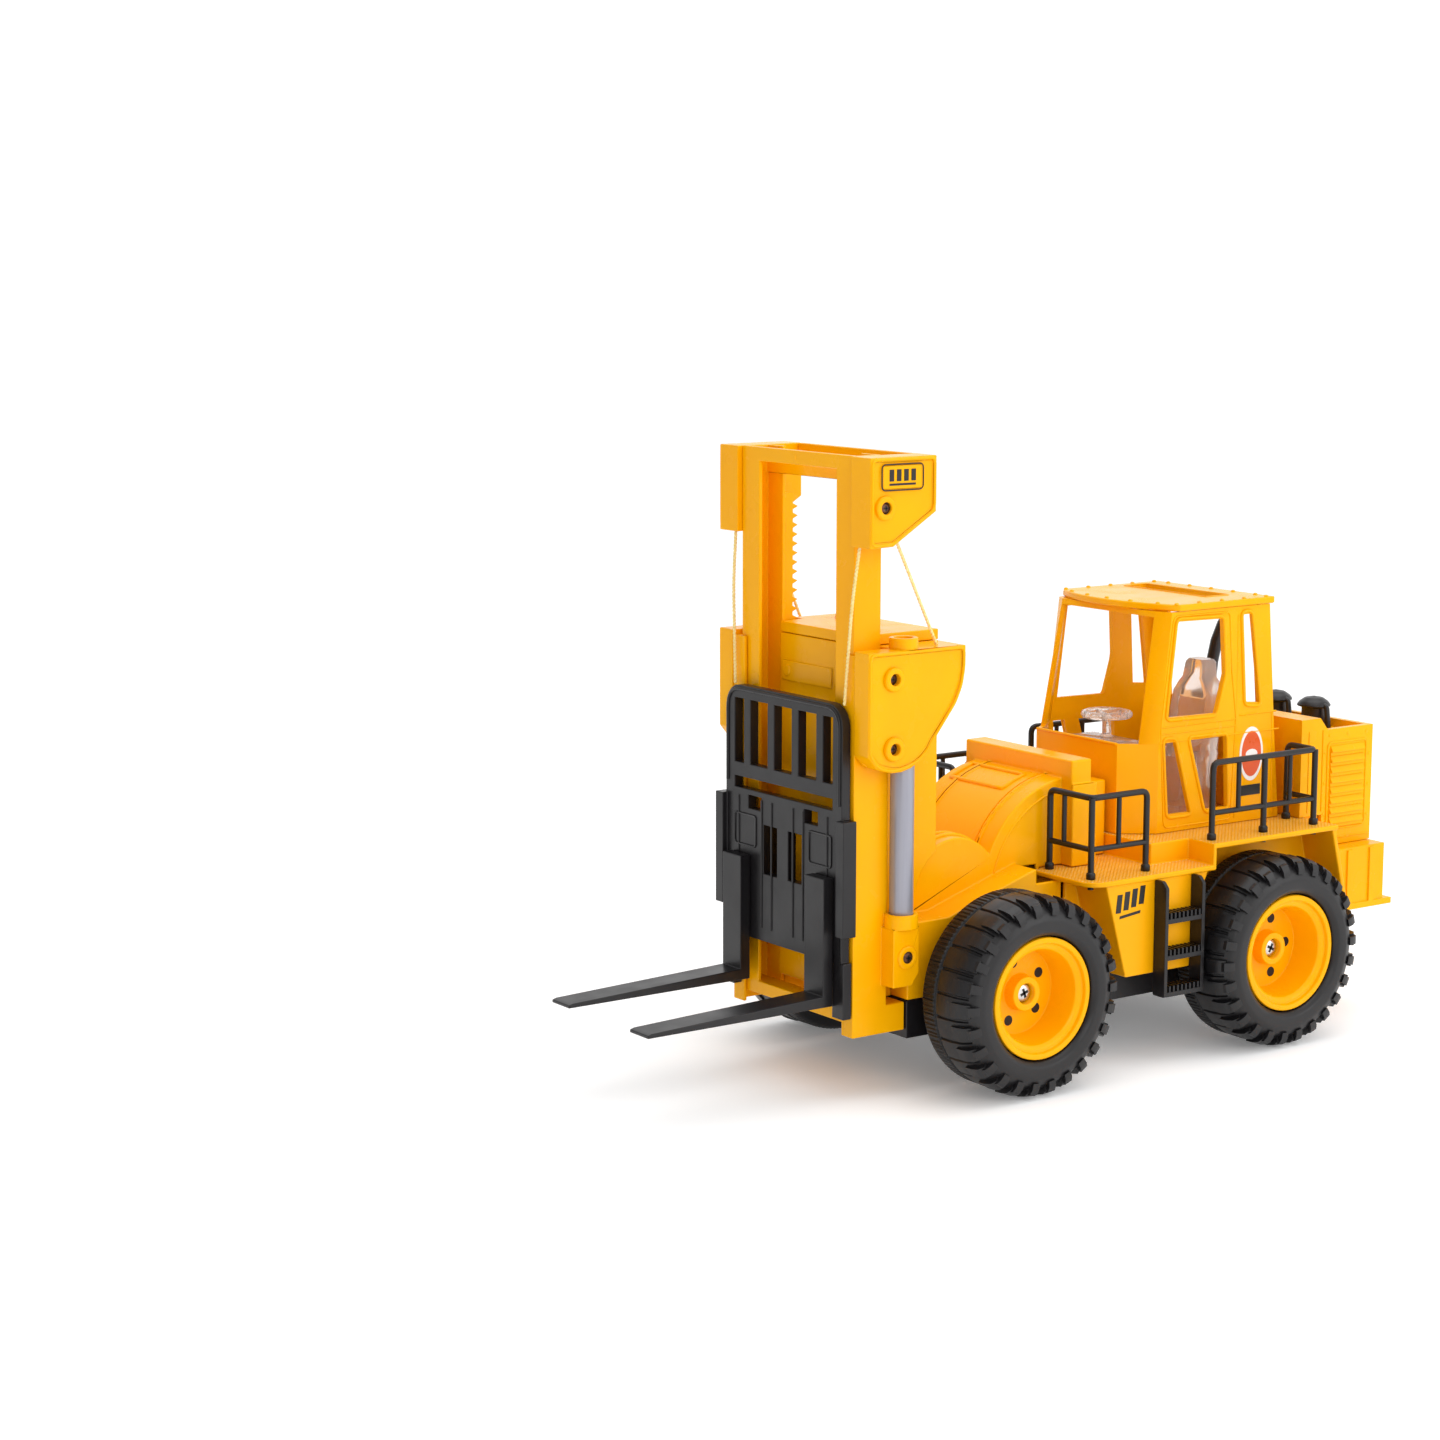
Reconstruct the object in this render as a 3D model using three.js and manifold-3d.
// Toy forklift with a two-stage mast, four big wheels, a glazed cab and a louvred engine cover.
// Units are millimetres. Inside the truck group +X is the truck's left side, -Y is its front
// (the fork end), +Z is up, the front axle stands at y = 0 and the ground at z = 0.
import * as THREE from 'three';
import { mergeVertices } from 'three/addons/utils/BufferGeometryUtils.js';
import Module from 'manifold-3d';

const wasm = await Module();
wasm.setup();

// ---- driving dimensions ----
const GAP = 0.3; // clearance between neighbouring pieces
const WALL = 2; // moulded shell thickness
const FORK_TIP_Y = -175;
const TAIL_Y = 245;
const TOP_Z = 282;

const TYRE_R = 45;
const WHEEL_INNER_X = 54.5;
const WHEEL_OUTER_X = 88.5;
const AXLE_Z = TYRE_R;
const FRONT_AXLE_Y = 0;
const REAR_AXLE_Y = 151;
const KINGPIN_X = 60;
const TIE_ROD_Y = 14;

const TRAY = { halfX: 46, front: -44, rear: 206, bottom: 25, top: 42 };
const BODY_Z = TRAY.top + GAP;
const DECK_X = 72;
const DECK_1_Z = 88.5;
const DECK_1_Y = 40;
const DECK_2_Z = 98.5;
const DECK_2_Y = 114.5;
const DECK_REAR_Y = 195.5;

const SMALL_DRUM = { y: -5.3, z: 82.3, r: 26 };
const LARGE_DRUM = { y: 61.8, z: 78.2, r: 51.2 };
const DRUM_HALF_X = 31;
const NOSE_HALF_X = 46.3;
const LEDGE_REAR_Y = 30;

const MAST = { inner: 28.2, outer: 41.3, front: -71, rear: -56.4 };
const CHANNEL = { outer: 44.8, lip: 36.6, front: -73, rear: -54.4, bottom: 29, top: 197 };
const LIP = 1.6;
const TOWER = { halfX: 35, front: -53.5, rear: -19.5, top: 199 };
const BOX_X = 55.4; // outer face of the side boxes and the top brackets

const TOOTH_PITCH = 4.19;
const PINION_TEETH = 12;
const PINION_R = (TOOTH_PITCH * PINION_TEETH) / (2 * Math.PI);
const PINION = { y: -41.2, z: 150 };
const TOOTH_HEIGHT = 2.8;
const RACK = { inner: -29.2, outer: -34.9, bottom: 78, top: 261 };

const PULLEY = { x: 46.9, y: -65.3, z: 260.6, groove: 4.3, flange: 6 };
const CORD_R = 0.7;
const CORD_WRAP = PULLEY.groove + CORD_R;

const ROD = { x: 49, y: -50, r: 5.25 };
const CARRIAGE_FRONT = -78.4;
const CARRIAGE_BACK = -73.8;

const ENGINE = { halfX: 50, front: 191.5, step: 206, rear: 240, frontTop: 146, rearTop: 140 };

// ---- finishes ----
const finish = (color, roughness, metalness = 0, opacity = 1) =>
  new THREE.MeshStandardMaterial({
    color, roughness, metalness, opacity, transparent: opacity < 1,
  });
const YELLOW = () => finish(0xffb400, 0.32);
const BLACK = () => finish(0x1b1a1c, 0.45);
const RUBBER = () => finish(0x232325, 0.7);
const GREY = () => finish(0x8d8d95, 0.4, 0.3);
const STEEL = () => finish(0xc0c0c4, 0.3, 1);
const CLEAR = () => finish(0xf6e6dc, 0.1, 0, 0.45);
const CORD = () => finish(0xf2d98a, 0.8);
const BOARD = () => finish(0x1f6b3a, 0.5);

// ---- solids ----
function solid(geometry) {
  const bare = geometry.clone();
  bare.deleteAttribute('normal');
  bare.deleteAttribute('uv');
  const merged = mergeVertices(bare, 1e-4);
  return new wasm.Manifold(new wasm.Mesh({
    numProp: 3,
    vertProperties: new Float32Array(merged.attributes.position.array),
    triVerts: new Uint32Array(merged.index.array),
  }));
}
const join = (...pieces) => pieces.flat().reduce((whole, piece) => whole.add(piece));
const cut = (whole, ...tools) => tools.flat().reduce((left, tool) => left.subtract(tool), whole);

function block(x0, x1, y0, y1, z0, z1) {
  const geometry = new THREE.BoxGeometry(x1 - x0, y1 - y0, z1 - z0);
  geometry.translate((x0 + x1) / 2, (y0 + y1) / 2, (z0 + z1) / 2);
  return solid(geometry);
}

const outline = (points) => new THREE.Shape(points.map(([a, b]) => new THREE.Vector2(a, b)));

function extruded(shape, depth, curveSegments = 12) {
  return new THREE.ExtrudeGeometry(shape, { depth, bevelEnabled: false, curveSegments });
}
// An outline in (x, y) raised from z0 to z1.
function slab(points, z0, z1) {
  const geometry = extruded(outline(points), z1 - z0);
  geometry.translate(0, 0, z0);
  return solid(geometry);
}
// An outline in (y, z) drawn across from x0 to x1.
function profile(points, x0, x1) {
  const geometry = extruded(outline(points), x1 - x0);
  geometry.applyMatrix4(new THREE.Matrix4().makeBasis(
    new THREE.Vector3(0, 1, 0), new THREE.Vector3(0, 0, 1), new THREE.Vector3(1, 0, 0),
  ));
  geometry.translate(x0, 0, 0);
  return solid(geometry);
}
// An outline in (x, z) drawn back from y0 to y1.
function facade(points, y0, y1) {
  const geometry = extruded(outline(points), y1 - y0);
  geometry.rotateX(Math.PI / 2);
  geometry.translate(0, y1, 0);
  return solid(geometry);
}
function rodZ(x, y, r, z0, z1, sides = 12) {
  const geometry = new THREE.CylinderGeometry(r, r, z1 - z0, sides);
  geometry.rotateX(Math.PI / 2);
  geometry.translate(x, y, (z0 + z1) / 2);
  return solid(geometry);
}
function rodX(y, z, r, x0, x1, sides = 12) {
  const geometry = new THREE.CylinderGeometry(r, r, x1 - x0, sides);
  geometry.rotateZ(Math.PI / 2);
  geometry.translate((x0 + x1) / 2, y, z);
  return solid(geometry);
}
// A bar of round section from one point to another.
function bar(from, to, r, sides = 6) {
  const a = new THREE.Vector3(...from);
  const b = new THREE.Vector3(...to);
  const geometry = new THREE.CylinderGeometry(r, r, a.distanceTo(b), sides);
  const turn = new THREE.Quaternion().setFromUnitVectors(
    new THREE.Vector3(0, 1, 0), b.clone().sub(a).normalize(),
  );
  geometry.applyQuaternion(turn);
  geometry.translate(...a.clone().add(b).multiplyScalar(0.5).toArray());
  return solid(geometry);
}
// A section in (radius, height) turned about a vertical line.
function turned(section, x, y, sides = 16) {
  const points = section.map(([r, z]) => new THREE.Vector2(r, z));
  const geometry = new THREE.LatheGeometry(points, sides);
  geometry.rotateX(Math.PI / 2);
  geometry.translate(x, y, 0);
  return solid(geometry);
}
// A section in (radius, x) turned about the X direction through (y, z).
function wheelTurned(section, y, z, sides) {
  const ring = section.map(([r, x]) => new THREE.Vector2(r, x));
  if (THREE.ShapeUtils.area(ring) < 0) ring.reverse();
  const geometry = new THREE.LatheGeometry([...ring, ring[0]], sides);
  geometry.rotateZ(-Math.PI / 2);
  geometry.translate(0, y, z);
  return solid(geometry);
}
// Straight-sided solid through plan outlines [[x, y], ...] at rising heights.
function lofted(levels) {
  const count = levels[0].plan.length;
  const positions = [];
  levels.forEach(({ plan, z }) => plan.forEach(([x, y]) => positions.push(x, y, z)));
  const index = [];
  for (let level = 0; level + 1 < levels.length; level += 1) {
    for (let i = 0; i < count; i += 1) {
      const a = level * count + i;
      const b = level * count + ((i + 1) % count);
      index.push(a, b, b + count, a, b + count, a + count);
    }
  }
  const top = (levels.length - 1) * count;
  for (let i = 1; i + 1 < count; i += 1) {
    index.push(0, i + 1, i, top, top + i, top + i + 1);
  }
  const geometry = new THREE.BufferGeometry();
  geometry.setAttribute('position', new THREE.Float32BufferAttribute(positions, 3));
  geometry.setIndex(index);
  return solid(geometry);
}
// Points on an arc in (a, b), angles in degrees, both ends included.
function arc(a, b, r, from, to, steps) {
  return Array.from({ length: steps + 1 }, (_, i) => {
    const angle = THREE.MathUtils.degToRad(from + ((to - from) * i) / steps);
    return [a + r * Math.cos(angle), b + r * Math.sin(angle)];
  });
}
const disc = ({ y, z }, r, steps = 32) => arc(y, z, r, 0, 360 - 360 / steps, steps - 1);
const bothSides = (make) => [make(1), make(-1)];
// A box given for the left side, placed on either side.
function sideBlock(side, x0, x1, ...rest) {
  return side > 0 ? block(x0, x1, ...rest) : block(-x1, -x0, ...rest);
}
function sideProfile(side, points, x0, x1) {
  return side > 0 ? profile(points, x0, x1) : profile(points, -x1, -x0);
}
function sideRod(side, y, z, r, x0, x1, sides) {
  return side > 0 ? rodX(y, z, r, x0, x1, sides) : rodX(y, z, r, -x1, -x0, sides);
}
const sideName = (side) => (side > 0 ? 'left' : 'right');

// ---- scene graph ----
const group = new THREE.Group();
const truck = new THREE.Group();
truck.position.y = -(FORK_TIP_Y + TAIL_Y) / 2; // the origin stands under the middle of the box
group.add(truck);

function add(name, shape, material, parent = truck) {
  const { vertProperties, triVerts } = shape.getMesh();
  const geometry = new THREE.BufferGeometry();
  geometry.setAttribute('position', new THREE.BufferAttribute(vertProperties, 3));
  geometry.setIndex(new THREE.BufferAttribute(triVerts, 1));
  geometry.computeVertexNormals();
  const mesh = new THREE.Mesh(geometry, material);
  mesh.name = name;
  parent.add(mesh);
}

// ---- chassis ----
const SLOT_FRONT_Y = -8;
const SLOT_REAR_Y = 19;
const BEAM = { bottom: 30, lower: 34, upper: 56, top: 60 };

function chassisTray() {
  const { halfX, front, rear, bottom, top } = TRAY;
  const shell = cut(
    block(-halfX, halfX, front, rear, bottom, top),
    block(-halfX + WALL, halfX - WALL, front + WALL, rear - WALL, bottom + WALL, top + 1),
    block(-halfX - 1, halfX + 1, SLOT_FRONT_Y, SLOT_REAR_Y, BEAM.bottom - 1, top + 1),
    block(-30, 30, 55, 113, bottom - 1, bottom + WALL + 1),
    block(-7, 7, 138.5, 143.5, bottom - 1, bottom + WALL + 1),
  );
  const batteryBox = cut(
    block(-33, 33, 52, 116, bottom, 40),
    block(-31, 31, 54, 114, bottom - 1, 41),
  );
  const beam = join(
    block(-40, 40, -5, 5, bottom + 1, BEAM.top),
    block(-KINGPIN_X, KINGPIN_X, -5, 5, BEAM.bottom, BEAM.lower),
    block(-KINGPIN_X, KINGPIN_X, -5, 5, BEAM.upper, BEAM.top),
    ...bothSides((side) => rodZ(side * KINGPIN_X, 0, 5, BEAM.bottom, BEAM.lower)),
    ...bothSides((side) => rodZ(side * KINGPIN_X, 0, 5, BEAM.upper, BEAM.top)),
  );
  const axlePosts = bothSides((side) => sideBlock(side, 38, 42, 145, 157, bottom + 1, 52));
  return cut(
    join(shell, batteryBox, beam, axlePosts),
    bothSides((side) => rodZ(side * KINGPIN_X, 0, 2 + GAP, BEAM.bottom - 1, BEAM.top + 1)),
    rodX(REAR_AXLE_Y, AXLE_Z, 2.5 + GAP, -43, 43),
  );
}
add('chassis_tray', chassisTray(), BLACK());
add('battery_cover', join(
  block(-29.7, 29.7, 55.3, 112.7, TRAY.bottom, TRAY.bottom + 1.8),
  block(-6, 6, 102, 108, TRAY.bottom - 1.2, TRAY.bottom + 0.5),
), BLACK());
add('power_switch', join(
  block(-2.5, 2.5, 139.2, 142.8, TRAY.bottom - 1.5, 28),
  block(-10.5, 10.5, 136, 146, TRAY.bottom + WALL + GAP, 29),
), BLACK());

function circuitBoard() {
  const parts = [
    block(-30, 30, 165, 201, 60, 61.6),
    block(-20, -4, 172, 184, 61.4, 66),
    block(6, 14, 170, 190, 61.4, 64),
    rodZ(22, 178, 3, 61.4, 71, 12),
    rodZ(-24, 194, 2.5, 61.4, 69, 12),
  ];
  return join(...parts);
}
add('circuit_board', circuitBoard(), BOARD());

// ---- steering ----
function knuckle(side) {
  const x = side * KINGPIN_X;
  const end = (from, to) => [Math.min(side * from, side * to), Math.max(side * from, side * to)];
  const [stub0, stub1] = end(KINGPIN_X, 71);
  const [head0, head1] = end(70.8, 72.4);
  return join(
    block(x - 3, x + 3, -4, 4, BEAM.lower + 0.5, BEAM.upper - 0.5),
    rodZ(x, 0, 2, BEAM.bottom + 0.5, BEAM.top - 0.5, 10),
    block(x - 1.5, x + 1.5, 3, TIE_ROD_Y + 2, 43, 47),
    rodZ(x, TIE_ROD_Y, 1.2, 46, 52, 12),
    rodX(0, AXLE_Z, 2.5, stub0, stub1),
    rodX(0, AXLE_Z, 3.4, head0, head1),
  );
}
bothSides((side) => add(`knuckle_${sideName(side)}`, knuckle(side), BLACK()));
add('tie_rod', cut(
  block(-KINGPIN_X - 2.5, KINGPIN_X + 2.5, TIE_ROD_Y - 2.5, TIE_ROD_Y + 2.5, 48, 50.6),
  bothSides((side) => rodZ(side * KINGPIN_X, TIE_ROD_Y, 1.6, 47, 53, 12)),
), BLACK());
add('steering_motor', join(
  block(-12, 12, 22, 44, TRAY.bottom + WALL + GAP, 46),
  rodZ(0, 28, 4, 45.5, 49, 16),
), BLACK());

// ---- wheels ----
const RIM_SEAT = 26;
const RIM_LIP = 27.3;
const RIM_SECTION = [
  [2.8, 66.5], [2.8, 70.4], [4.2, 70.4], [4.5, 73.5], [7.8, 73.5], [7.8, 69.2], [19.8, 69.2],
  [21.6, 86], [RIM_LIP, 86.6], [RIM_LIP, 83], [RIM_SEAT, 83], [RIM_SEAT, 55.5], [23.5, 55.5],
  [23.5, 66.5],
];
const TYRE_SECTION = [
  [RIM_SEAT + GAP, WHEEL_INNER_X], [RIM_SEAT + GAP, 82.7], [RIM_LIP + GAP, 82.7],
  [RIM_LIP + GAP, 86.2], [34, WHEEL_OUTER_X], [41.5, 87], [TYRE_R, 80], [TYRE_R, 59],
  [42, WHEEL_INNER_X],
];
const mirrorSection = (section) => section.map(([r, x]) => [r, -x]);

function wheel(end, y) {
  bothSides((side) => {
    const place = (section) => (side > 0 ? section : mirrorSection(section));
    const rim = wheelTurned(place(RIM_SECTION), y, AXLE_Z, 18);
    add(`rim_${end}_${sideName(side)}`, rim, YELLOW());
    const tyre = wheelTurned(place(TYRE_SECTION), y, AXLE_Z, 24);
    add(`tyre_${end}_${sideName(side)}`, tyre, RUBBER());
  });
}
wheel('front', FRONT_AXLE_Y);
wheel('rear', REAR_AXLE_Y);

// ---- drive ----
const DRIVE_GEAR = { teeth: 18, r: 15, x0: 14, x1: 19 };
const MOTOR_PINION = { teeth: 6, r: 5 };
const MOTOR_Y = REAR_AXLE_Y - DRIVE_GEAR.r - MOTOR_PINION.r - GAP;

// A spur gear about the X direction; phase is the angle of one tooth's middle, in degrees.
function gear({ y, z, r, teeth, x0, x1, addendum, phase = 0, fill = 0.4 }) {
  const step = 360 / teeth;
  const points = [];
  for (let i = 0; i < teeth; i += 1) {
    const middle = phase + i * step;
    const corners = [
      [-0.66 * fill, r - addendum * 1.2], [-0.3 * fill, r + addendum],
      [0.3 * fill, r + addendum], [0.66 * fill, r - addendum * 1.2],
    ];
    corners.forEach(([offset, radius]) => {
      const angle = THREE.MathUtils.degToRad(middle + offset * step);
      points.push([y + radius * Math.cos(angle), z + radius * Math.sin(angle)]);
    });
  }
  return profile(points, x0, x1);
}
add('rear_axle', join(
  rodX(REAR_AXLE_Y, AXLE_Z, 2.5, -71, 71),
  rodX(REAR_AXLE_Y, AXLE_Z, 3.4, 70.8, 72.4),
  rodX(REAR_AXLE_Y, AXLE_Z, 3.4, -72.4, -70.8),
), STEEL());
add('drive_gear', cut(
  gear({
    y: REAR_AXLE_Y, z: AXLE_Z, addendum: 1.6, phase: 0, ...DRIVE_GEAR,
  }),
  rodX(REAR_AXLE_Y, AXLE_Z, 2.5 + GAP, DRIVE_GEAR.x0 - 1, DRIVE_GEAR.x1 + 1),
), BLACK());
add('motor_pinion', join(
  gear({
    y: MOTOR_Y, z: AXLE_Z, addendum: 1.6, phase: 180 / MOTOR_PINION.teeth,
    x0: DRIVE_GEAR.x0, x1: DRIVE_GEAR.x1, ...MOTOR_PINION,
  }),
  rodX(MOTOR_Y, AXLE_Z, 1.5, 8, DRIVE_GEAR.x0 + 1, 12),
), STEEL());
add('drive_motor', cut(
  rodX(MOTOR_Y, AXLE_Z, 12, -28, 12, 16),
  rodX(MOTOR_Y, AXLE_Z, 1.5 + GAP, 7, 13, 12),
), STEEL());

// ---- body shell: decks, side panels and rear fenders ----
const PANEL_FRONT = [[50, DECK_1_Z - 1], [63, BODY_Z]];
const PANEL_REAR = [[102.5, BODY_Z], [105, 68], [DECK_2_Y - 0.5, DECK_1_Z - 1]];

function deckOutline(front, rear, halfX, corner) {
  return [
    [-halfX, rear], ...arc(-halfX + corner, front + corner, corner, 180, 270, 4),
    ...arc(halfX - corner, front + corner, corner, 270, 360, 4), [halfX, rear],
  ];
}
function sidePanel(side) {
  const shell = sideProfile(side, [...PANEL_FRONT, ...PANEL_REAR], 48, 70);
  const room = [
    [50 + WALL + 1, DECK_1_Z - WALL], [63 + WALL + 1, BODY_Z - 1],
    [102.5 - WALL, BODY_Z - 1], [105 - WALL, 68], [112, DECK_1_Z - WALL],
  ];
  return cut(shell, sideProfile(side, room, 47, 70 - WALL));
}
function rearFender(side) {
  const outlinePoints = [
    [DECK_REAR_Y - 2.5, DECK_2_Z - 1], [DECK_REAR_Y, DECK_2_Z - 1], [205.6, 58], [203.1, 58],
  ];
  return sideProfile(side, outlinePoints, 48, DECK_X - 2);
}
function bodyShell() {
  const walls = cut(
    join(
      block(-48.3, 48.3, 45, DECK_2_Y + 1, BODY_Z, DECK_1_Z - 1),
      block(-48.3, 48.3, DECK_2_Y, 206, BODY_Z, DECK_2_Z - 1),
    ),
    block(-46.3, 46.3, 44, 204, BODY_Z - 1, DECK_2_Z + 1),
  );
  const deck1 = cut(
    slab(deckOutline(DECK_1_Y, DECK_2_Y + 1, DECK_X, 10), DECK_1_Z - 2.5, DECK_1_Z),
    block(-DRUM_HALF_X - GAP, DRUM_HALF_X + GAP, DECK_1_Y - 1, 45, DECK_1_Z - 4, DECK_1_Z + 1),
  );
  const step = cut(
    block(-55, 55, 91, DECK_2_Y + 2, DECK_1_Z - 2, DECK_2_Z),
    block(-53, 53, 93, DECK_2_Y + 3, DECK_1_Z - 3, DECK_2_Z - 2.5),
  );
  const riser = block(-DECK_X, DECK_X, DECK_2_Y, DECK_2_Y + 2, DECK_1_Z - 2.5, DECK_2_Z);
  const deck2 = block(-DECK_X, DECK_X, DECK_2_Y, DECK_REAR_Y, DECK_2_Z - 2.5, DECK_2_Z);
  const tail = block(-48.3, 48.3, DECK_REAR_Y - 1, 206, DECK_2_Z - 2.5, DECK_2_Z);
  const room = block(-46.3, 46.3, 94, DECK_2_Y + 1, DECK_1_Z - 3, DECK_1_Z + 1);
  return cut(
    join(
      walls, cut(deck1, room), step, riser, deck2, tail,
      ...bothSides(sidePanel), ...bothSides(rearFender),
    ),
    bothSides((side) => sideRod(side, REAR_AXLE_Y, AXLE_Z, 5, 45, 50)),
  );
}
add('body_shell', bodyShell(), YELLOW());

// ---- nose shell: two drum-shaped housings on a ledged base, and the cowl behind them ----
const COWL = { front: 57, rear: 72, halfX: 39, top: 138, shoulder: 127 };

function noseOutline(inset) {
  const bottom = inset > 0 ? BODY_Z - 1 : BODY_Z;
  return [
    [TRAY.front + inset, bottom], [TRAY.front + inset, 77 - inset], [-21, 77 - inset],
    [28.5, 92.4 - inset], [44.7 - inset, 92.4 - inset], [44.7 - inset, bottom],
  ];
}
function drumRoll(inset) {
  return join(
    profile(disc(SMALL_DRUM, SMALL_DRUM.r - inset), -DRUM_HALF_X + inset, DRUM_HALF_X - inset),
    cut(
      profile(disc(LARGE_DRUM, LARGE_DRUM.r - inset, 48), -DRUM_HALF_X + inset, DRUM_HALF_X - inset),
      block(-50, 50, COWL.rear - 2 - inset, 130, 0, 140),
    ),
  );
}
function noseShell() {
  const base = cut(
    profile(noseOutline(0), -NOSE_HALF_X, NOSE_HALF_X),
    block(-50, -DRUM_HALF_X, LEDGE_REAR_Y, 50, DECK_1_Z - 2.8, 100),
    block(DRUM_HALF_X, 50, LEDGE_REAR_Y, 50, DECK_1_Z - 2.8, 100),
  );
  const drums = cut(drumRoll(0), block(-50, 50, -60, 130, 0, BODY_Z + 20));
  const cowl = cut(
    join(
      block(-38, 38, COWL.front, COWL.rear - 3, COWL.shoulder - 1, COWL.top),
      block(-COWL.halfX, COWL.halfX, COWL.front, COWL.rear, DECK_1_Z + GAP, COWL.shoulder),
      block(-24, 24, COWL.rear - 3, 90.5, DECK_1_Z + GAP, 124),
    ),
    block(-36, 36, COWL.front + WALL, COWL.rear - 3 - WALL, 80, COWL.top - WALL),
    block(-22, 22, COWL.front + WALL, 88.5, 80, 122),
  );
  const cavity = join(
    profile(noseOutline(WALL), -NOSE_HALF_X + WALL, NOSE_HALF_X - WALL),
    drumRoll(WALL),
  );
  const slots = block(-50, 50, SLOT_FRONT_Y, SLOT_REAR_Y, BODY_Z - 1, BEAM.top + 1.5);
  const deckRoom = block(-60, 60, 44.7, 130, 0, DECK_1_Z + GAP);
  const ribs = [-20, 20].map((x) => cut(
    profile(disc(LARGE_DRUM, LARGE_DRUM.r + 0.8, 48), x - 1, x + 1),
    profile(disc(LARGE_DRUM, LARGE_DRUM.r - 1, 48), x - 2, x + 2),
    block(-50, 50, COWL.front + 0.5, 130, 0, 140),
    block(-50, 50, -60, 130, 0, 100),
  ));
  return cut(join(cut(join(base, drums), cavity), cowl, ribs), slots, deckRoom);
}
add('nose_shell', noseShell(), YELLOW());

// ---- cab ----
const CAB_PLANS = [
  { z: DECK_2_Z + GAP, front: [28.5, 93], corner: [40, 108.4], rear: [40, 187] },
  { z: 141, front: [28.5, 93], corner: [40, 108.4], rear: [40, 183] },
];
const GLASS_PLANS = [
  { z: 141, front: [34.7, 101], corner: [40, 108.4], rear: [40, 183] },
  { z: 202, front: [32.6, 111.5], corner: [39.4, 115.5], rear: [39.4, 178.5] },
];
function cabLevels(plans, inset, dz = 0) {
  return plans.map(({ z, front, corner, rear }, level) => {
    const right = [
      [front[0] - inset * 0.6, front[1] + inset], [corner[0] - inset, corner[1] + inset * 0.6],
      [rear[0] - inset, rear[1] - inset],
    ];
    const left = right.map(([x, y]) => [-x, y]).reverse();
    return { z: z + (level === 0 ? -dz : dz), plan: [...right, ...left] };
  });
}
const SIDE_WINDOWS = [
  [[119.4, 197.5], [113.9, 153], [144.4, 152.5], [149.6, 170.7], [147.8, 197]],
  [[160.4, 198], [163.2, 156.2], [173.1, 155.3], [166.9, 198]],
  [[111.6, 141.8], [114.5, 107], [129.1, 107], [118.8, 141.6]],
  [[128.1, 141.3], [138.8, 107], [153, 107], [151.3, 141]],
];
function cabShell() {
  const shell = cut(
    join(lofted(cabLevels(CAB_PLANS, 0)), lofted(cabLevels(GLASS_PLANS, 0))),
    lofted(cabLevels(CAB_PLANS, WALL, 1)),
    lofted(cabLevels(GLASS_PLANS, WALL, 1)),
  );
  const windshield = facade([[-34.1, 141], [34.1, 141], [32, 199.4], [-32, 199.4]], 85, 125);
  const rearWindow = facade([[-30, 150], [30, 150], [29, 196], [-29, 196]], 170, 190);
  return cut(shell, windshield, rearWindow, SIDE_WINDOWS.map((w) => profile(w, -50, 50)));
}
add('cab_shell', cabShell(), YELLOW());

const ROOF = { bottom: 202.3, top: 205.5, halfX: 40.8, rear: 180.5, corner: 116.5, bow: 107.5 };
function roofOutline() {
  const chord = ROOF.halfX - 3;
  const rise = ROOF.corner - ROOF.bow;
  const front = Array.from({ length: 9 }, (_, i) => {
    const x = -chord + (2 * chord * i) / 8;
    return [x, ROOF.bow + rise * (x / chord) ** 2];
  });
  return [
    [-ROOF.halfX, ROOF.rear], [-ROOF.halfX, ROOF.corner + 3], ...front,
    [ROOF.halfX, ROOF.corner + 3], [ROOF.halfX, ROOF.rear],
  ];
}
add('cab_roof', cut(
  slab(roofOutline(), ROOF.bottom, ROOF.top),
  block(-33, 24, 152, 166, ROOF.bottom - 1, ROOF.top + 1),
), YELLOW());

add('seat', join(
  profile([
    [146, DECK_2_Z + GAP], [172, DECK_2_Z + GAP], [178, 162], [167, 166], [160, 128],
    [146, 125],
  ], -13, 13),
  profile([[167, 164], [177.5, 161], [177.5, 170], [168.5, 172]], -8, 8),
), CLEAR());
function dashboard() {
  const wheelRim = wheelTurned([[12, -1.3], [12, 1.3], [9.6, 1.3], [9.6, -1.3]], 0, 0, 16);
  const spokes = join(
    block(-1.2, 1.2, -10.5, 10.5, -1.2, 1.2), block(-1.2, 1.2, -1.2, 1.2, -10.5, 10.5),
  );
  const lay = laidFlat(join(wheelRim, spokes), [0, 112, 150]);
  return join(
    block(-17, 17, 98, 121, DECK_2_Z + GAP, 139),
    bar([0, 113, 137], [0, 112, 151], 3, 12), lay,
  );
}
// Turns a solid built about the X direction so that it lies flat, then moves it.
function laidFlat(shape, at) {
  const { vertProperties, triVerts } = shape.getMesh();
  const geometry = new THREE.BufferGeometry();
  geometry.setAttribute('position', new THREE.BufferAttribute(vertProperties, 3));
  geometry.setIndex(new THREE.BufferAttribute(triVerts, 1));
  geometry.rotateY(Math.PI / 2);
  geometry.translate(...at);
  return solid(geometry);
}
add('dashboard', dashboard(), CLEAR());

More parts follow.
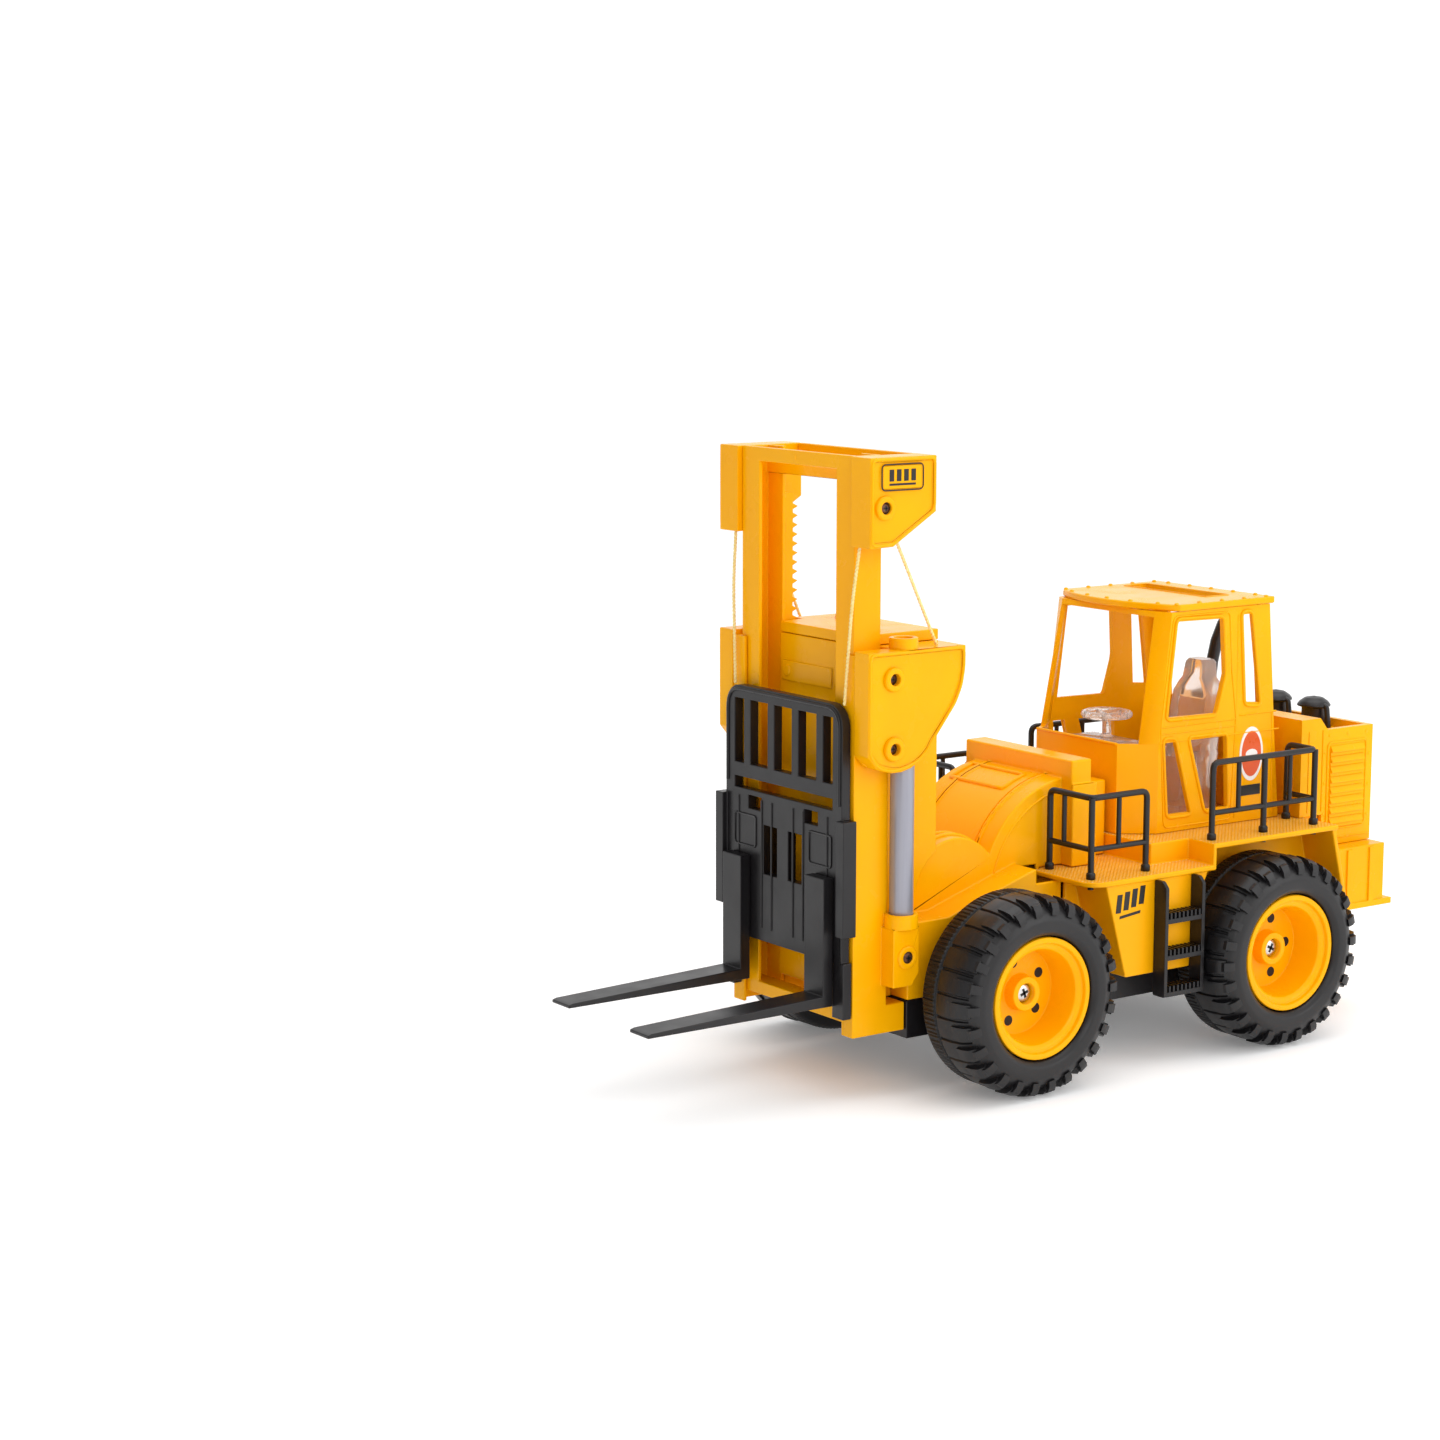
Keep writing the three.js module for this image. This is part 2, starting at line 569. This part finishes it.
// ---- engine cover, intakes, exhaust and counterweight ----
function engineCover() {
  const { halfX, front, step, rear, frontTop, rearTop } = ENGINE;
  const shape = (inset) => [
    [front + inset, DECK_2_Z + GAP - (inset ? 1 : 0)], [front + inset, frontTop - inset],
    [step - 2 + inset, frontTop - inset], [step + 3 - inset, rearTop - inset - (inset ? 4 : 0)],
    [rear - inset, rearTop - inset - (inset ? 4 : 0)], [rear - inset, 83.3 - (inset ? 1 : 0)],
    [step + 0.3, 83.3 - (inset ? 1 : 0)], [step + 0.3, DECK_2_Z + GAP - (inset ? 1 : 0)],
  ];
  const shell = cut(
    profile(shape(0), -halfX, halfX),
    profile(shape(WALL), -halfX + WALL, halfX - WALL),
    block(-halfX + 3, halfX - 3, step + 6, rear - 3, rearTop - 4, rearTop + 1),
  );
  const louvres = Array.from({ length: 8 }, (_, i) => {
    const z = 92 + 5 * i;
    const lip = [[-halfX - 1, z], [-halfX + 1, z - 0.6], [-halfX + 1, z + 3], [-halfX, z + 3]];
    return [facade(lip, 211, 234), facade(lip.map(([x, h]) => [-x, h]).reverse(), 211, 234)];
  });
  return join(shell, ...louvres.flat());
}
add('engine_cover', engineCover(), YELLOW());

const INTAKE_Y = 228.5;
const INTAKE_DECK_Z = ENGINE.rearTop - 4;
const INTAKE_X = { left: 21.5, right: -4.5 };
function intake(side) {
  const z = INTAKE_DECK_Z + GAP;
  const x = INTAKE_X[sideName(side)];
  return join(
    turned([
      [0, z], [6.2, z], [6.2, z + 10.2], [8, z + 10.6], [7.2, z + 12], [4.4, z + 14.2], [0, z + 15.2],
    ], x, INTAKE_Y),
    bar([x + 6, INTAKE_Y, z + 11.2], [x + 10, INTAKE_Y, z + 0.6], 1.3),
  );
}
bothSides((side) => add(`intake_cap_${sideName(side)}`, intake(side), BLACK()));

function exhaustStack() {
  const path = new THREE.CatmullRomCurve3([
    new THREE.Vector3(-20, 198, ENGINE.frontTop + GAP), new THREE.Vector3(-20, 198.5, 160),
    new THREE.Vector3(-20, 201, 174), new THREE.Vector3(-20, 206, 184),
    new THREE.Vector3(-20, 211, 190),
  ]);
  const section = new THREE.Shape();
  section.absarc(0, 0, 3, 0, 2 * Math.PI, false);
  const pipe = new THREE.ExtrudeGeometry(section, {
    steps: 7, curveSegments: 4, extrudePath: path, bevelEnabled: false,
  });
  const tip = new THREE.SphereGeometry(3.6, 8, 6);
  tip.translate(-20, 211, 190);
  const flange = rodZ(-20, 198, 5, ENGINE.frontTop + GAP, ENGINE.frontTop + 2.5, 16);
  return join(solid(pipe), solid(tip), flange);
}
add('exhaust_stack', exhaustStack(), BLACK());

function counterweight() {
  const lip = block(-61, 61, 207, TAIL_Y, 52.5, 55.5);
  const mass = block(-60, 60, 207, 240, 55, 83);
  const ribs = [-45, -15, 15, 45].map((x) => block(x - 2, x + 2, 239, 241, 55, 83));
  const sideRibs = [216, 231].flatMap((y) => bothSides(
    (side) => sideBlock(side, 59, 61, y - 1.8, y + 1.8, 55, 82),
  ));
  return cut(
    join(lip, mass, ...ribs, ...sideRibs),
    block(-57, 57, 210, 237, 51, 80),
  );
}
add('counterweight', counterweight(), YELLOW());

// ---- railings ----
const RAIL_R = 1.35;
function railing(posts, topZ, midZ, links) {
  const bars = posts.flatMap(({ at: [x, y], foot }) => [
    rodZ(x, y, RAIL_R, foot, topZ + RAIL_R, 6), rodZ(x, y, 2, foot, foot + 2, 6),
  ]);
  links.forEach(([a, b]) => {
    [topZ, midZ].forEach((z) => bars.push(bar([...a, z], [...b, z], RAIL_R)));
  });
  links.forEach(([a, b]) => {
    const middle = [(a[0] + b[0]) / 2, (a[1] + b[1]) / 2];
    bars.push(rodZ(...middle, 1, midZ, topZ, 6));
  });
  return join(...bars);
}
bothSides((side) => {
  const front = [[34.8, 47.2], [63, 47.2], [63, 80.3]].map(([x, y]) => [side * x, y]);
  add(`front_rail_${sideName(side)}`, railing(
    front.map((at) => ({ at, foot: DECK_1_Z + GAP })), 125.5, 102,
    [[front[0], front[1]], [front[1], front[2]]],
  ), BLACK());
  const rear = [[64, 120.3], [64, 153.4], [64, 186.4], [46, 186.4]].map(([x, y]) => [side * x, y]);
  add(`rear_rail_${sideName(side)}`, railing(
    rear.map((at) => ({ at, foot: DECK_2_Z + GAP })), 134.5, 111,
    [[rear[0], rear[1]], [rear[1], rear[2]], [rear[2], rear[3]]],
  ), BLACK());
});

// ---- ladders ----
function ladder(side) {
  const plateOutline = [
    [70.3, 32], [78, 32], [78, 82.8], [75.2, 85.7], [70.3, 85.7],
  ].map(([x, z]) => [side * x, z]);
  if (side < 0) plateOutline.reverse();
  const plates = [79.5, 102].map((y) => facade(plateOutline, y, y + 2));
  const treads = [66, 49, 32].map((z) => sideBlock(side, 70.3, 78, 81, 102.5, z, z + 5));
  return join(...plates, ...treads);
}
bothSides((side) => add(`ladder_${sideName(side)}`, ladder(side), BLACK()));

// ---- outer mast ----
function outerMast() {
  const noseRoom = block(-NOSE_HALF_X - GAP, NOSE_HALF_X + GAP, TRAY.front - GAP, 0, 20, 77 + GAP);
  const channel = (side) => {
    const { outer, lip, front, rear, bottom, top } = CHANNEL;
    return join(
      sideBlock(side, outer - 3, outer, front, rear, bottom, top),
      sideBlock(side, lip, outer, front, front + LIP, bottom, top),
      sideBlock(side, lip, outer, rear - LIP, rear, bottom, top),
    );
  };
  const foot = (side) => {
    const x = side * ROD.x;
    const knee = sideProfile(
      side, [[-57.5, 51], [-47, 51], [-43.5, 56], [-43.5, 77], [-57.5, 77]], 41.5, 53.5,
    );
    return cut(
      join(knee, rodZ(x, ROD.y, 7.5, 76.5, 83, 16)),
      noseRoom,
      rodZ(x, ROD.y, ROD.r + GAP, 78, 84),
      sideRod(side, ROD.y, 64, 2.6, 51, 56, 12),
    );
  };
  const crossbar = block(-CHANNEL.outer, CHANNEL.outer, -55.9, TRAY.front - 0.4, 29, TRAY.top - 0.4);
  return join(...bothSides(channel), ...bothSides(foot), crossbar);
}
add('outer_mast', outerMast(), YELLOW());

// ---- tower: the lift gear housing behind the mast ----
function rackSlot(margin) {
  return block(-45, RACK.inner + margin, TOWER.front - 9, -46.9, 20, TOWER.top + 20);
}
function towerHousing() {
  const { halfX, front, rear, top } = TOWER;
  const body = join(
    block(-halfX, halfX, front, rear, BODY_Z, top),
    block(-27.4, 27.4, -60, front + 1, BODY_Z, top),
    block(-25, 12, -60.8, -59, 178, 187),
    block(-14, 14, rear - 1, -14.5, 156, 162),
  );
  const room = block(-halfX + WALL, halfX - WALL, front + WALL, rear - WALL, 110, top + 1);
  const noseClear = join(
    block(-60, 60, TRAY.front - GAP, 0, 0, 77 + GAP),
    profile(disc(SMALL_DRUM, SMALL_DRUM.r + GAP), -40, 40),
  );
  return cut(body, room, noseClear, rackSlot(1));
}
add('tower_housing', towerHousing(), YELLOW());
add('tower_cap', cut(
  join(
    block(-TOWER.halfX, TOWER.halfX, TOWER.front, TOWER.rear, TOWER.top + GAP, 204),
    block(-27.4, 27.4, -60, TOWER.front + 1, TOWER.top + GAP, 204),
    rodZ(-18, -30, 5, 203.5, 206),
  ),
  block(-31, 31, -50, -23, TOWER.top, 202),
  rackSlot(1),
), YELLOW());

function sideBox(side) {
  const shape = [
    [-73.6, 199.2], [-73.6, 154.6], [-69.2, 149.2], ...arc(-58, 168, 21.6, 248, 334, 6),
    [-25.5, 174.5], [-22, 182], [-20.6, 190], [-20.6, 199.2],
  ];
  const panel = sideProfile(side, shape, CHANNEL.outer + GAP, BOX_X);
  const neck = cut(
    sideProfile(side, shape, TOWER.halfX + GAP, CHANNEL.outer + 1),
    sideBlock(side, 30, CHANNEL.outer + 0.5, -80, CHANNEL.rear + GAP, 100, 220),
  );
  const boss = (y, z) => sideRod(side, y, z, 4.7, BOX_X - 1, BOX_X + 0.9);
  const recess = (y, z) => sideRod(side, y, z, 2.7, BOX_X - 3, BOX_X + 2, 12);
  const face = shape.map(([y, z]) => {
    const dy = y - (-47);
    const dz = z - 176;
    return [-47 + dy * 0.93, 176 + dz * 0.92];
  });
  return cut(
    join(
      cut(panel, sideProfile(side, face, BOX_X - 0.8, BOX_X + 1)),
      neck, boss(-59.8, 187.1), boss(-59.5, 156.9),
      rodZ(side * ROD.x, ROD.y, 6.3, 199, 204),
    ),
    recess(-59.8, 187.1), recess(-59.5, 156.9),
    rodZ(side * ROD.x, ROD.y, 4.2, 201, 205),
    rodZ(side * ROD.x, ROD.y, ROD.r + GAP, 100, 156),
  );
}
bothSides((side) => {
  add(`side_box_${sideName(side)}`, sideBox(side), YELLOW());
  add(`lift_rod_${sideName(side)}`, rodZ(side * ROD.x, ROD.y, ROD.r, 78.3, 155.7), GREY());
});

// ---- lift drive ----
add('lift_motor', cut(
  join(
    rodX(PINION.y + 4, PINION.z, 12, -22, 24, 16),
    rodX(PINION.y, PINION.z, 5, -27, -21, 16),
  ),
  rodX(PINION.y, PINION.z, 2 + GAP, -28, -22, 12),
), STEEL());
add('lift_pinion', join(
  gear({
    ...PINION, r: PINION_R, teeth: PINION_TEETH, x0: -32.6, x1: -29.5,
    addendum: 1.25, phase: 180 + 180 / PINION_TEETH,
  }),
  rodX(PINION.y, PINION.z, 2, -30, -23, 12),
), BLACK());

// ---- inner mast ----
const innerMast = new THREE.Group();
truck.add(innerMast);
const INNER_BOTTOM = 34;

function innerMastFrame() {
  const { inner, outer, front, rear } = MAST;
  const rail = (side) => join(
    sideBlock(side, outer - 2, outer, front, rear, INNER_BOTTOM, TOP_Z),
    sideBlock(side, inner, outer, front, front + 1.8, INNER_BOTTOM, TOP_Z),
    sideBlock(side, inner, outer, rear - 1.8, rear, INNER_BOTTOM, TOP_Z),
  );
  return join(
    ...bothSides(rail),
    block(-outer, outer, front, front + 2.5, 275.8, TOP_Z),
    block(-outer, outer, rear - 2.5, rear, 269.8, 276),
    block(-outer, outer, front, -61.2, INNER_BOTTOM, 40),
  );
}
add('inner_mast_frame', innerMastFrame(), YELLOW(), innerMast);

function liftRack() {
  const root = MAST.rear + GAP + 4.4;
  const points = [[MAST.rear + GAP, RACK.bottom], [root, RACK.bottom]];
  const first = Math.ceil((RACK.bottom + 2 - PINION.z) / TOOTH_PITCH);
  const last = Math.floor((RACK.top - 2 - PINION.z) / TOOTH_PITCH);
  for (let i = first; i <= last; i += 1) {
    const z = PINION.z + i * TOOTH_PITCH;
    points.push([root, z - 1.35], [root + TOOTH_HEIGHT, z], [root, z + 1.35]);
  }
  points.push([root, RACK.top], [MAST.rear + GAP, RACK.top]);
  return profile(points, RACK.outer, RACK.inner);
}
add('lift_rack', liftRack(), YELLOW(), innerMast);

function topBracket(side) {
  const outerShape = [
    [-73.4, TOP_Z], [-73.4, 243.6], [-60.9, 244], [-37.9, 258], [-37.9, TOP_Z],
  ];
  const room = [
    [-72.4, TOP_Z - WALL], [-72.4, 240], [-60.9, 240], [-39.9, 250], [-39.9, TOP_Z - WALL],
  ];
  const face = [[-71.8, 280], [-71.8, 246], [-61.4, 246.2], [-39.6, 259.4], [-39.6, 280]];
  // The left bracket carries the bar that joins both brackets behind the mast.
  const tieBar = side > 0
    ? [block(-MAST.outer, MAST.outer + 1, -40.4, -37.9, 278.4, TOP_Z)] : [];
  return cut(
    join(
      cut(
        sideProfile(side, outerShape, MAST.outer + GAP, BOX_X),
        sideProfile(side, room, MAST.outer + WALL, BOX_X - WALL),
        sideProfile(side, face, BOX_X - 0.7, BOX_X + 1),
      ),
      sideRod(side, PULLEY.y, PULLEY.z, 2, MAST.outer + 1, BOX_X - 1, 12),
      sideRod(side, PULLEY.y, PULLEY.z, 4.7, BOX_X - 1, BOX_X + 0.6),
      sideBlock(side, BOX_X - 1, BOX_X + 0.2, -67, -46, 268.5, 278.5),
      ...tieBar,
    ),
    sideRod(side, PULLEY.y, PULLEY.z, 2.7, BOX_X - 1.2, BOX_X + 1, 12),
  );
}
function pulley(side) {
  const { y, z, groove, flange } = PULLEY;
  const x = PULLEY.x;
  const section = [
    [2.3, x - 2.6], [2.3, x + 2.6], [flange, x + 2.6], [flange, x + 1.8], [groove, x + 0.7],
    [groove, x - 0.7], [flange, x - 1.8], [flange, x - 2.6],
  ];
  const placed = side > 0 ? section : mirrorSection(section);
  return wheelTurned(placed, y, z, 12);
}
bothSides((side) => {
  add(`top_bracket_${sideName(side)}`, topBracket(side), YELLOW(), innerMast);
  add(`pulley_${sideName(side)}`, pulley(side), BLACK(), innerMast);
});

// ---- carriage and forks ----
const carriage = new THREE.Group();
innerMast.add(carriage);
const BACKREST = { halfX: 43.3, bottom: 134.5, top: 176, corner: 10 };

function carriagePlate() {
  const { halfX, bottom, top, corner } = BACKREST;
  const frame = facade([
    [-halfX, 62], [halfX, 62], ...arc(halfX - corner, top - corner, corner, 0, 90, 5),
    ...arc(-halfX + corner, top - corner, corner, 90, 180, 5),
  ], CARRIAGE_FRONT, CARRIAGE_BACK);
  const upright = 5;
  const windowX = [-36.5, -27, -9, 9, 27, 36.5];
  const windows = [];
  for (let i = 0; i < 5; i += 1) {
    const x0 = windowX[i] + (i === 0 ? 0 : upright / 2);
    const x1 = windowX[i + 1] - (i === 4 ? 0 : upright / 2);
    windows.push(block(x0, x1, -85, -70, bottom + 6.5, top - 6));
  }
  windows.push(block(-36.5, 36.5, -85, -70, bottom - 5, bottom));
  bothSides((side) => {
    windows.push(sideBlock(side, 4.2, 14.4, -85, -70, 93, 115));
    windows.push(sideBlock(side, 16, 26, -85, -70, 121, 127));
  });
  const flange = (side) => sideBlock(side, halfX - 1, 48, -81, CARRIAGE_BACK, 75, 126);
  const leg = (side) => sideBlock(side, 37, 45, CARRIAGE_FRONT, CARRIAGE_BACK, 38, 63);
  const guide = (side) => join(
    sideBlock(side, 20, MAST.inner - 0.5, CARRIAGE_BACK - 1, -61, 84, 118),
    sideBlock(side, 20, MAST.outer - 2.5, MAST.front + 2.3, -61, 84, 118),
  );
  return join(cut(frame, windows), ...bothSides(flange), ...bothSides(leg), ...bothSides(guide));
}
add('carriage_frame', carriagePlate(), BLACK(), carriage);

const FORK = { inner: 24, outer: 38, top: 100, heel: 43, blade: 48 };
function fork(side) {
  return sideProfile(side, [
    [CARRIAGE_FRONT - GAP, FORK.top], [-84, FORK.top], [-84, FORK.blade],
    [FORK_TIP_Y + 2, FORK.heel + 2], [FORK_TIP_Y, FORK.heel + 1.4], [FORK_TIP_Y, FORK.heel],
    [CARRIAGE_FRONT - GAP, FORK.heel],
  ], FORK.inner, FORK.outer);
}
bothSides((side) => add(`fork_${sideName(side)}`, fork(side), BLACK(), carriage));

// ---- lift cords ----
bothSides((side) => {
  const x = side * PULLEY.x;
  add(`cord_front_${sideName(side)}`, bar(
    [x, PULLEY.y - CORD_WRAP, PULLEY.z], [side * 40.5, -75.2, BACKREST.top + GAP + 0.2], CORD_R,
  ), CORD(), innerMast);
  add(`cord_rear_${sideName(side)}`, bar(
    [x, PULLEY.y + CORD_WRAP, PULLEY.z], [side * 49, -32, TOWER.top + 1], CORD_R,
  ), CORD());
});

export default group;
